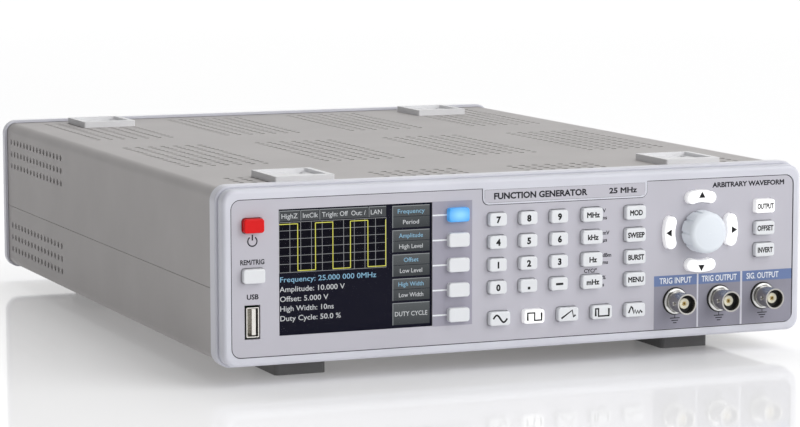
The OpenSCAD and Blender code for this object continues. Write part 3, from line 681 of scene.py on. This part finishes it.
sine = [(-3.4 + i * 0.283, 1.6 * sin(radians(i * 15))) for i in range(25)]
WAVES = {
    "sine_key": (-12.1, sine),
    "square_key": (4.73, [(-3.4, -1.7), (-3.4, 1.7), (0, 1.7), (0, -1.7), (3.4, -1.7), (3.4, 1.7)]),
    "ramp_key": (21.55, [(-3.6, -1.7), (1.8, 1.8), (2.4, -1.2), (3.4, -0.4)]),
    "pulse_key": (38.38, [(-3.3, -1.7), (-3.3, 1.7), (-1.9, 1.7), (-1.9, -1.7), (3.3, -1.7), (3.3, 1.7)]),
    "arbitrary_key": (
        55.2,
        [(-3.5, -1.2), (-2.3, 1.7), (-1.6, 1.0), (-0.9, -1.5), (-0.3, 0.2), (0.4, -1.6), (1.0, -0.2),
         (1.7, -1.6), (2.3, -0.2), (3.3, -1.3)],
    ),
}
WAVE_KEY_Z = -24.2
for node, (x, points) in WAVES.items():
    coat_node(node, lit_white if node == "square_key" else key_plastic)
    key_legend(node, [stroke(points, 0.95, x, WAVE_KEY_Z, KEY_RISE)])

# ---------------------------------------------------------------------------
# Knob and arrow keys.
# A pale blue-grey knob with ten narrow finger flutes turns on the shaft of a
# rotary encoder. Four lit arc-shaped keys stand round it.
# ---------------------------------------------------------------------------
KNOB_X = 88.7
KNOB_Z = 10.15
ARROW_RING = 16.4
ARROW_R = 1.9
knob_plastic = grained("knob_plastic", (0.77, 0.815, 0.87), 0.34, grain=0.4, relief=0.01, mottle=0.02)
coat_node("knob", knob_plastic)
for node, turn in (("arrow_up", 0), ("arrow_right", 90), ("arrow_down", 180), ("arrow_left", 270)):
    coat_node(node, lit_white)
    nothing_selected()
    x = KNOB_X + ARROW_RING * sin(radians(turn))
    z = KNOB_Z + ARROW_RING * cos(radians(turn))
    bpy.ops.mesh.primitive_cylinder_add(
        vertices=3, radius=ARROW_R * MM, depth=INK * MM,
        location=face(x, z, KEY_RISE + INK / 2), rotation=(radians(90), radians(turn), 0),
    )
    key_legend(node, [settle()])

# ---------------------------------------------------------------------------
# Sockets.
# Coaxial sockets of nickel-plated brass. Each has a cream insulator with a gold
# contact slit into four fingers, a black ring of painted shade deep in its mouth,
# and a bright washer and a thin black ring of painted shade in the panel's gap round its foot.
# ---------------------------------------------------------------------------
REAR_BNC_X = (-50, -20, 10, 40)
REAR_BNC_Z = -16
INSERT_RISE = 9.2
dull_nickel = grained(
    "dull_nickel", (0.45, 0.44, 0.42), 0.24, grain=0.25, relief=0.01, mottle=0.12, metal=1.0
)
cream_insulator = grained("cream_insulator", (0.80, 0.77, 0.62), 0.45, grain=0.3, relief=0.01)
gold = grained("gold", (0.55, 0.42, 0.17), 0.3, grain=0.2, relief=0.003, metal=1.0)
bright_nickel = grained("bright_nickel", (0.74, 0.74, 0.73), 0.3, grain=0.25, relief=0.005, metal=1.0)
# Black for the rings of painted shade at the sockets.
shade_black = grained("shade_black", (0.012, 0.012, 0.013), 0.6, grain=0.3, relief=0.01)
coat_node("bnc_sockets", dull_nickel)
coat_node("bnc_inserts", cream_insulator)


def modifier(piece, kind, **settings):
    """Adds a modifier to the active piece with its settings, and applies it."""
    added = piece.modifiers.new(kind.lower(), kind)
    for setting, value in settings.items():
        setattr(added, setting, value)
    bpy.context.view_layer.objects.active = piece
    bpy.ops.object.modifier_apply(modifier=added.name)


def cut(piece, tools):
    """Cuts the tools' shapes out of a piece, and removes the tools."""
    for tool in tools:
        modifier(piece, "BOOLEAN", operation="DIFFERENCE", solver="EXACT", object=tool)
        bpy.data.objects.remove(tool)


def block(centre, size, edge=0.0):
    """A box with its edges rounded, centred on a point, size in millimetres."""
    nothing_selected()
    bpy.ops.mesh.primitive_cube_add(size=1, location=centre)
    box = bpy.context.object
    box.scale = [s * MM for s in size]
    settle()
    if edge:
        modifier(box, "BEVEL", width=edge * MM, segments=3, limit_method="ANGLE")
        bpy.ops.object.shade_smooth_by_angle(angle=radians(35))
    return box


def disc(centre, radius, depth, sides=40, edge=0.0):
    """A round disc along Y with its rims rounded, radius and depth in millimetres."""
    nothing_selected()
    bpy.ops.mesh.primitive_cylinder_add(
        vertices=sides, radius=radius * MM, depth=depth * MM,
        location=centre, rotation=(radians(90), 0, 0),
    )
    piece = settle()
    if edge:
        limit = radians(40)
        modifier(piece, "BEVEL", width=edge * MM, segments=3, limit_method="ANGLE", angle_limit=limit)
    bpy.ops.object.shade_smooth_by_angle(angle=radians(35))
    return piece


CONTACT_R, CONTACT_HOLE_R = 1.1, 0.5
SLIT = (4, 2.2, 0.3)
GAP_SHADE_R, GAP_SHADE_HOLE_R = 6.35, 5.92
WASHER_R, WASHER_HOLE_R = 5.8, 4.75
MOUTH_SHADE_R, MOUTH_SHADE_HOLE_R = 4.15, 2.2
socket_places = [(face(x, BNC_Z), -1) for x in BNC_X]
socket_places += [(rear_face(x, REAR_BNC_Z), 1) for x in REAR_BNC_X]
contacts = []
gap_shade_rings = []
mouth_shades = []
washers = []
for place, out in socket_places:
    outward = Vector((0, out * MM, 0))
    contact = disc(place + outward * (INSERT_RISE - 1.2), CONTACT_R, 2.8, 32, 0.25)
    bore = disc(place + outward * INSERT_RISE, CONTACT_HOLE_R, 3, 24)
    slits = [block(place + outward * (INSERT_RISE + 0.5), size) for size in (SLIT, SLIT[::-1])]
    cut(contact, [bore, *slits])
    contacts.append(contact)
    # A thin black ring of painted shade round the socket's foot, in the gap of the panel's hole.
    gap_shade_ring = disc(place + outward * 0.15, GAP_SHADE_R, 0.3, 48, 0.12)
    cut(gap_shade_ring, [disc(place, GAP_SHADE_HOLE_R, 2, 48)])
    gap_shade_rings.append(gap_shade_ring)
    washer = disc(place + outward * 1.15, WASHER_R, 0.5, 48, 0.2)
    cut(washer, [disc(place, WASHER_HOLE_R, 6, 48)])
    washers.append(washer)
    # A black ring of painted shade in the socket's mouth, where its deep well lies.
    mouth_shade = disc(place + outward * (INSERT_RISE - 1.4), MOUTH_SHADE_R, 0.6, 48, 0.1)
    cut(mouth_shade, [disc(place + outward * INSERT_RISE, MOUTH_SHADE_HOLE_R, 6, 32)])
    mouth_shades.append(mouth_shade)
finish_piece(join("socket_contacts", contacts), gold, "case")
finish_piece(join("socket_gap_shade_rings", gap_shade_rings), shade_black, "case")
finish_piece(join("socket_mouth_shades", mouth_shades), shade_black, "case")
finish_piece(join("socket_washers", washers), bright_nickel, "case")

# ---------------------------------------------------------------------------
# USB socket.
# A drawn shell of tinned steel stands upright in a cut-out of the panel; the
# tongue inside it carries four flat contacts.
# ---------------------------------------------------------------------------
tin = grained("tin", (0.72, 0.70, 0.66), 0.24, grain=0.4, relief=0.005, mottle=0.05, metal=1.0)
coat_node("usb_socket", tin)

# ---------------------------------------------------------------------------
# Feet and tilt legs.
# Dark grey moulded feet under the corners. A tilt leg of the same plastic is
# hinged in each front foot and folds out of it.
# ---------------------------------------------------------------------------
foot_plastic = grained("foot_plastic", (0.17, 0.17, 0.172), 0.5, grain=0.5, relief=0.03)
for node in ("feet", "tilt_leg_left", "tilt_leg_right"):
    coat_node(node, foot_plastic)

# ---------------------------------------------------------------------------
# Inside.
# Two populated boards, a boxed power supply and the steel shaft of the knob's
# encoder. Lacquered glass fibre and bright sheet steel.
# ---------------------------------------------------------------------------
board_green = grained("board_green", (0.02, 0.10, 0.04), 0.3, grain=0.4, relief=0.01, mottle=0.2)
steel = grained("steel", (0.6, 0.6, 0.59), 0.3, grain=0.3, relief=0.01, metal=1.0)
coat_node("control_board", board_green)
coat_node("main_board", board_green)
coat_node("power_supply", steel)
coat_node("encoder_shaft", steel)

# ---------------------------------------------------------------------------
# Rear panel.
# Painted sheet with a cut-out for the interface card, which brings its own
# plate. Here the cut-out is made in a copy of the panel.
# ---------------------------------------------------------------------------
CARD_X = 96
CARD_Z = 4
CARD_SIZE = (64, 40)
rear_paint = grained("rear_paint", (0.50, 0.50, 0.51), 0.45, grain=0.5, relief=0.02)
inlet_black = grained("inlet_black", (0.02, 0.02, 0.02), 0.4, grain=0.4, relief=0.02)
coat_node("mains_inlet", inlet_black)
rear_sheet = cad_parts["rear_panel"].copy()
rear_sheet.data = rear_sheet.data.copy()
scene.collection.objects.link(rear_sheet)
nothing_selected()
rear_sheet.select_set(True)
bpy.context.view_layer.objects.active = rear_sheet
bpy.ops.object.mode_set(mode="EDIT")
bpy.ops.mesh.select_all(action="SELECT")
bpy.ops.mesh.remove_doubles(threshold=0.000002)
bpy.ops.object.mode_set(mode="OBJECT")
cut(rear_sheet, [block(rear_face(CARD_X, CARD_Z), (CARD_SIZE[0] - 8, 8, CARD_SIZE[1] - 8))])
rear_sheet.name = "rear_panel_sheet"
finish_piece(rear_sheet, rear_paint, "case")
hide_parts("rear_panel")

# ---------------------------------------------------------------------------
# Interface card.
# A bright plate held by two screws carries a network socket with its two
# lamps and an upright type B socket. The card itself is inside the case.
# ---------------------------------------------------------------------------
LAN_X = CARD_X + 13
USB_B_X = CARD_X - 13
card_plate = block(rear_face(CARD_X, CARD_Z, 0.6), (CARD_SIZE[0], 1.2, CARD_SIZE[1]), 0.3)
cut(card_plate, [
    block(rear_face(LAN_X, CARD_Z, 0.6), (16.4, 4, 13.4)),
    block(rear_face(USB_B_X, CARD_Z, 0.6), (12.4, 4, 11.2)),
])
card_steel = grained(
    "card_steel", (0.62, 0.62, 0.61), 0.32, grain=0.3, relief=0.01, mottle=0.05, metal=1.0
)
finish_piece(join("interface_plate", [card_plate]), card_steel, "case")

lan_shell = block(rear_face(LAN_X, CARD_Z, -6.5), (16, 16, 13), 0.3)
cut(lan_shell, [
    block(rear_face(LAN_X, CARD_Z - 0.6, -5), (12, 16, 7.4)),
    block(rear_face(LAN_X, CARD_Z + 4, -5), (6.2, 16, 3)),
])
usb_b_shell = block(rear_face(USB_B_X, CARD_Z, -6.5), (12, 16, 10.8), 0.4)
cut(usb_b_shell, [block(rear_face(USB_B_X, CARD_Z, -5), (8.6, 16, 7.8), 0.8)])
finish_piece(join("interface_shells", [lan_shell, usb_b_shell]), tin, "case")

interface_inner = [block(rear_face(USB_B_X, CARD_Z, -6), (5.6, 14, 3.2), 0.2)]
interface_inner.append(block(rear_face(LAN_X, CARD_Z - 0.6, -12), (11.8, 2, 7.2)))
finish_piece(join("interface_inserts", interface_inner), inlet_black, "case")
LAN_WIRES = 8
lan_wires = []
for i in range(LAN_WIRES):
    wire = block(rear_face(LAN_X + (i - (LAN_WIRES - 1) / 2) * 1.02, CARD_Z - 3.1, -4), (0.4, 9, 0.4))
    nothing_selected()
    wire.select_set(True)
    bpy.ops.transform.rotate(
        value=radians(12), orient_axis="X", center_override=rear_face(0, CARD_Z - 3.1, -4)
    )
    lan_wires.append(wire)
finish_piece(join("network_contacts", lan_wires), gold, "case")
lamps = [block(rear_face(LAN_X + s * 6.1, CARD_Z + 4.8, 1.0), (2.6, 1.2, 2.2), 0.3) for s in (-1, 1)]
lamp_green = grained("lamp_green", (0.10, 0.35, 0.12), 0.2, grain=0.4, relief=0.004)
finish_piece(join("network_lamps", lamps), lamp_green, "case")

# ---------------------------------------------------------------------------
# Rear screws.
# Pan-head steel screws with a cross recess. Eight hold the rear panel and two
# hold the interface card's plate.
# ---------------------------------------------------------------------------
SCREW_PLACES = [(sx * 132, sz * 30, 0) for sx in (-1, 1) for sz in (-1, 1)]
SCREW_PLACES += [(x, z, 0) for z in (30, -30) for x in (-66, 50)]
SCREW_PLACES += [(CARD_X + s * (CARD_SIZE[0] / 2 - 4), CARD_Z, 1.2) for s in (-1, 1)]
screw_model = disc(rear_face(0, 0, 0.9), 2.9, 1.8, 40, 0.8)
cut(screw_model, [block(rear_face(0, 0, 1.9), size) for size in ((3, 1.8, 0.75), (0.75, 1.8, 3))])
screws = []
for x, z, rise in SCREW_PLACES:
    screw = screw_model.copy()
    screw.data = screw_model.data.copy()
    scene.collection.objects.link(screw)
    screw.location = (x * MM, rise * MM, z * MM)
    nothing_selected()
    screw.select_set(True)
    bpy.context.view_layer.objects.active = screw
    screws.append(settle())
bpy.data.objects.remove(screw_model)
finish_piece(join("rear_screws", screws), card_steel, "case")

# ---------------------------------------------------------------------------
# Rear print.
# Socket names and the mains voltage, printed in dark ink on the sheet and on
# the interface card's plate.
# ---------------------------------------------------------------------------
REAR_NAMES = ("MOD INPUT", "SWEEP OUT", "REF INPUT", "REF OUTPUT")
rear_words = [
    lettering(words, x, REAR_BNC_Z + 10, 2.3, 19, back=True) for words, x in zip(REAR_NAMES, REAR_BNC_X)
]
rear_words.append(lettering("100 - 240 V ~   50 - 60 Hz", -100, 17.5, 2.3, 38, back=True))
rear_words.append(lettering("USB", USB_B_X, CARD_Z + 10, 2.3, 6.5, rise=1.2, back=True))
rear_words.append(lettering("LAN", LAN_X, CARD_Z + 10, 2.3, 6.5, rise=1.2, back=True))
finish_piece(join("rear_lettering", rear_words), print_and_shade_black, "case")
